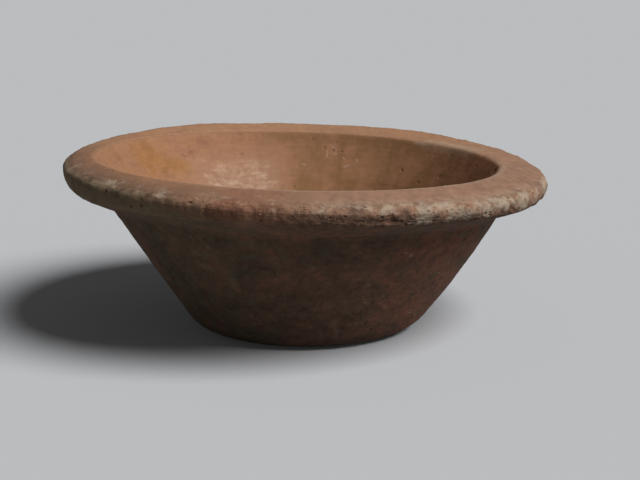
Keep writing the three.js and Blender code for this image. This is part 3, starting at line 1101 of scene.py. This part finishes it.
def clay_material(colours, opening_shift):
    """The fired clay: orange inside, pinkish on the rim, brown and stained outside."""
    material = bpy.data.materials.new("fired_clay")
    nodes = blank_nodes(material)
    here = ClayPlace(nodes, opening_shift)
    towards, edge, top, inside, mottle = here.towards, here.edge, here.top, here.inside, here.mottle

    # On the right and at one place in front the rim's own colour runs down over its edge.
    run_down = here.level + 0.7 * mottle + 0.5 * towards(-35, 45, 85) + 0.7 * towards(-109, 8, 24)
    rim_share = top.most(edge * run_down.smooth(0.6, 1.2))
    skin = outside_colour(here, colours).mixed(top_colour(here, colours), rim_share)
    skin = skin.mixed(inside_colour(here, colours), inside).times(clay_shade(here))
    skin = limed(skin, here, colours)
    skin = flecked(skin, here, colours)
    skin = edged(skin, here, colours)

    # Holes too small for the mesh, most of them low on the edge at the front right.
    crowded = (here.patchy + 0.5 * towards(-50, 30, 52)).smooth(0, 0.5)
    small_holes = here.place.cells(1.4 * MM, 11).smooth(0.3, 0.1) * crowded
    small_holes = small_holes * (edge * (1 - 0.7 * here.level) + 0.2 * (1 - inside) * (1 - top))
    skin = pitted(skin, here, colours, small_holes)

    roughness = (0.9 + 0.08 * mottle - 0.06 * inside).clamped()
    grain = 0.03 * MM * here.fine + 0.08 * MM * mottle + 0.07 * MM * here.blotch
    brush_marks = 0.05 * MM * here.brushed * (1 - top) * (1 - 0.4 * inside)
    crumbly = 0.1 * MM * here.fine * edge * (1 - 0.8 * towards(155, 70, 115))
    height = grain * (0.35 + 0.65 * here.bare) + brush_marks + crumbly - 0.25 * MM * small_holes
    matt_surface(nodes, skin, roughness, height, gloss=0.2)
    return material


def grain_material(name, pale, dark):
    """Grains of one deposit, each a little different."""
    material = bpy.data.materials.new(name)
    nodes = blank_nodes(material)
    place = nodes.add("ShaderNodeTexCoord", output="Object")
    tone = place.noise(2.5 * MM, 3, 3, 0.6).smooth(-0.3, 0.5)
    roughness = 0.88 + 0.06 * place.noise(0.6 * MM, 4)
    height = 0.06 * MM * place.noise(0.35 * MM, 5, 2)
    matt_surface(nodes, nodes.paint(pale).mixed(dark, tone * 0.7), roughness, height, gloss=0.25)
    return material


def shared(collection, name, make, *arguments):
    """A tree or material that several operators use, made when it is first asked for."""
    return collection.get(name) or make(*arguments)


def turn_piece(context, skin, rows, name, node):
    """Turns one piece of clay and sets it in the place of its solid."""
    settings = context.scene
    shift = settings.bowl_warp.opening_shift
    clay = shared(bpy.data.materials, "fired_clay", clay_material, settings.bowl_colours, shift)
    marks = damage_object(skin)
    values = {**skin.sizes, **tree_values(settings.bowl_warp), **tree_values(settings.bowl_wear)}
    values.update({"Columns": settings.bowl_shape.columns, "Damage": marks, "Material": clay})
    tree = shared(bpy.data.node_groups, "turned_clay", turned_tree, values)
    piece = made_by_tree(name, section_mesh(rows), tree, values)
    bpy.data.objects.remove(marks)
    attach(piece, BODY)
    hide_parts(node)


class BOWL_OT_base_disc(bpy.types.Operator):
    """Turns the flat bottom with the lower part of the heel"""

    bl_idname = "bowl.base_disc"
    bl_label = "Base disc"

    def execute(self, context):
        skin = Skin(context.scene.bowl_shape)
        rows = skin.stretch(end="foot") + skin.stretch(start="floor")
        turn_piece(context, skin, rows, "clay_base_disc", "base_disc")
        return {"FINISHED"}


class BOWL_OT_wall(bpy.types.Operator):
    """Turns the steep flaring wall"""

    bl_idname = "bowl.wall"
    bl_label = "Wall"

    def execute(self, context):
        skin = Skin(context.scene.bowl_shape)
        rows = skin.stretch("foot", "neck") + skin.stretch("throat", "floor")
        turn_piece(context, skin, rows + rows[:1], "clay_wall", "wall")
        return {"FINISHED"}


class BOWL_OT_rim_flange(bpy.types.Operator):
    """Turns the broad flat rim"""

    bl_idname = "bowl.rim_flange"
    bl_label = "Rim flange"

    def execute(self, context):
        skin = Skin(context.scene.bowl_shape)
        rows = skin.stretch("neck", "throat")
        turn_piece(context, skin, rows + rows[:1], "clay_rim_flange", "rim_flange")
        return {"FINISHED"}


def lay_grains(context, name, bed, values):
    """Lays grains on a finished piece."""
    values = {**values, "Seed": context.scene.bowl_wear.seed}
    surface = bpy.data.objects[bed].data.copy()
    tree = shared(bpy.data.node_groups, "grains", grain_tree, values)
    grains = made_by_tree(name, surface, tree, values)
    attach(grains, BODY)


class BOWL_OT_rim_crust(bpy.types.Operator):
    """Scatters lime and soil grains over the crusted edge of the rim"""

    bl_idname = "bowl.rim_crust"
    bl_label = "Rim crust"

    def execute(self, context):
        sizes = context.scene.bowl_grains
        colours = context.scene.bowl_colours
        values = {
            "Density": sizes.crust_density,
            "Crust Share": 1.0,
            "Smallest": sizes.crust_smallest,
            "Largest": sizes.crust_largest,
            "Material": grain_material("lime_crust", colours.crust, colours.clay_brown),
        }
        lay_grains(context, "rim_crust_grains", "clay_rim_flange", values)
        return {"FINISHED"}


class BOWL_OT_grit(bpy.types.Operator):
    """Sets the pale grit of the coarse clay into the wall and the rim"""

    bl_idname = "bowl.grit"
    bl_label = "Grit"

    def execute(self, context):
        sizes = context.scene.bowl_grains
        colours = context.scene.bowl_colours
        values = {
            "Density": sizes.grit_density,
            "Crust Share": 0.0,
            "Smallest": sizes.grit_smallest,
            "Largest": sizes.grit_largest,
            "Material": grain_material("pale_grit", colours.inside_pale, colours.clay_brown),
        }
        lay_grains(context, "wall_grit", "clay_wall", values)
        lay_grains(context, "rim_grit", "clay_rim_flange", values)
        return {"FINISHED"}


class BOWL_OT_stage(bpy.types.Operator):
    """Sets up the floor, the light and the camera"""

    bl_idname = "bowl.stage"
    bl_label = "Stage"

    def execute(self, context):
        stage = context.scene.bowl_stage
        add_floor(stage)
        add_light(context.scene, stage)
        add_camera(context.scene, stage)
        context.scene.view_settings.view_transform = "Standard"
        return {"FINISHED"}


def seen_or_bounced(nodes, seen, bounced):
    """One shader for what the camera sees, also in a gloss or through glass, and one for light
    that bounces."""
    camera = nodes.add("ShaderNodeLightPath", output="Is Camera Ray")
    direct = camera.most(camera.other("Is Glossy Ray")).most(camera.other("Is Transmission Ray"))
    return nodes.add("ShaderNodeMixShader", inputs={0: direct, 1: bounced, 2: seen})


def add_floor(stage):
    """A wide floor that is pale to the eye and keeps the bowl's shadow."""
    corners = [(x * FLOOR_REACH, y * FLOOR_REACH, 0) for x, y in ((-1, -1), (1, -1), (1, 1), (-1, 1))]
    mesh = bpy.data.meshes.new("floor")
    mesh.from_pydata(corners, [], [(0, 1, 2, 3)])
    material = bpy.data.materials.new("floor")
    nodes = blank_nodes(material)
    matt = nodes.add("ShaderNodeBsdfDiffuse", inputs={"Color": stage.floor})
    glow = nodes.add("ShaderNodeEmission", inputs={"Color": stage.floor})
    seen = nodes.add("ShaderNodeMixShader", inputs={0: stage.floor_glow, 1: matt, 2: glow})
    bounced = nodes.add("ShaderNodeBsdfDiffuse", inputs={"Color": stage.floor_bounce})
    nodes.add("ShaderNodeOutputMaterial", inputs={"Surface": seen_or_bounced(nodes, seen, bounced)})
    mesh.materials.append(material)
    floor = new_object("floor", mesh)


def add_light(scene, stage):
    """A broad main light from the upper right and a weak even fill."""
    lamp = bpy.data.lights.new("key", "SUN")
    lamp.energy = stage.key_strength
    lamp.angle = stage.key_softness
    towards_key = Vector(stage.key_direction)
    key = new_object("key", lamp)
    key.location = towards_key
    key.rotation_euler = towards_key.to_track_quat("Z", "Y").to_euler()

    world = bpy.data.worlds.new("studio")
    nodes = blank_nodes(world)
    fill = nodes.add("ShaderNodeBackground", inputs={"Color": (1, 1, 1), "Strength": stage.fill_strength})
    backdrop = nodes.add("ShaderNodeBackground", inputs={"Color": stage.floor, "Strength": 1.0})
    nodes.add("ShaderNodeOutputWorld", inputs={"Surface": seen_or_bounced(nodes, backdrop, fill)})
    scene.world = world


def add_camera(scene, stage):
    """A camera in front of the bowl, looking slightly down into it."""
    back_along = Vector((0, -math.cos(stage.camera_height), math.sin(stage.camera_height)))
    lens = bpy.data.cameras.new("camera")
    lens.lens = stage.lens
    lens.sensor_width = SENSOR_WIDTH
    lens.sensor_fit = "HORIZONTAL"
    lens.clip_start = 10 * MM
    camera = new_object("camera", lens)
    camera.location = Vector(stage.camera_target) + back_along * stage.camera_distance
    camera.rotation_euler = back_along.to_track_quat("Z", "Y").to_euler()
    scene.camera = camera


PIECES = (
    BOWL_OT_base_disc,
    BOWL_OT_wall,
    BOWL_OT_rim_flange,
    BOWL_OT_rim_crust,
    BOWL_OT_grit,
    BOWL_OT_stage,
)
GROUPS = {
    "bowl_shape": BowlShape,
    "bowl_warp": BowlWarp,
    "bowl_wear": BowlWear,
    "bowl_grains": BowlGrains,
    "bowl_colours": BowlColours,
    "bowl_stage": BowlStage,
}


class BOWL_PT_sidebar(bpy.types.Panel):
    """The bowl's sizes, colours and pieces"""

    bl_label = "Earthenware bowl"
    bl_space_type = "VIEW_3D"
    bl_region_type = "UI"
    bl_category = "Bowl"

    def draw(self, context):
        for piece in PIECES:
            self.layout.operator(piece.bl_idname)
        for name, group in GROUPS.items():
            column = self.layout.column()
            column.label(text=group.__doc__)
            for setting in group.__annotations__:
                column.prop(getattr(context.scene, name), setting)


CLASSES = (*GROUPS.values(), *PIECES, BOWL_PT_sidebar)


def register():
    for item in CLASSES:
        bpy.utils.register_class(item)
    for name, group in GROUPS.items():
        setattr(bpy.types.Scene, name, bpy.props.PointerProperty(type=group))


def unregister():
    for name in GROUPS:
        delattr(bpy.types.Scene, name)
    for item in reversed(CLASSES):
        bpy.utils.unregister_class(item)


def main():
    register()
    bpy.ops.bowl.base_disc()
    bpy.ops.bowl.wall()
    bpy.ops.bowl.rim_flange()
    bpy.ops.bowl.rim_crust()
    bpy.ops.bowl.grit()
    bpy.ops.bowl.stage()


if __name__ == "__main__":
    main()
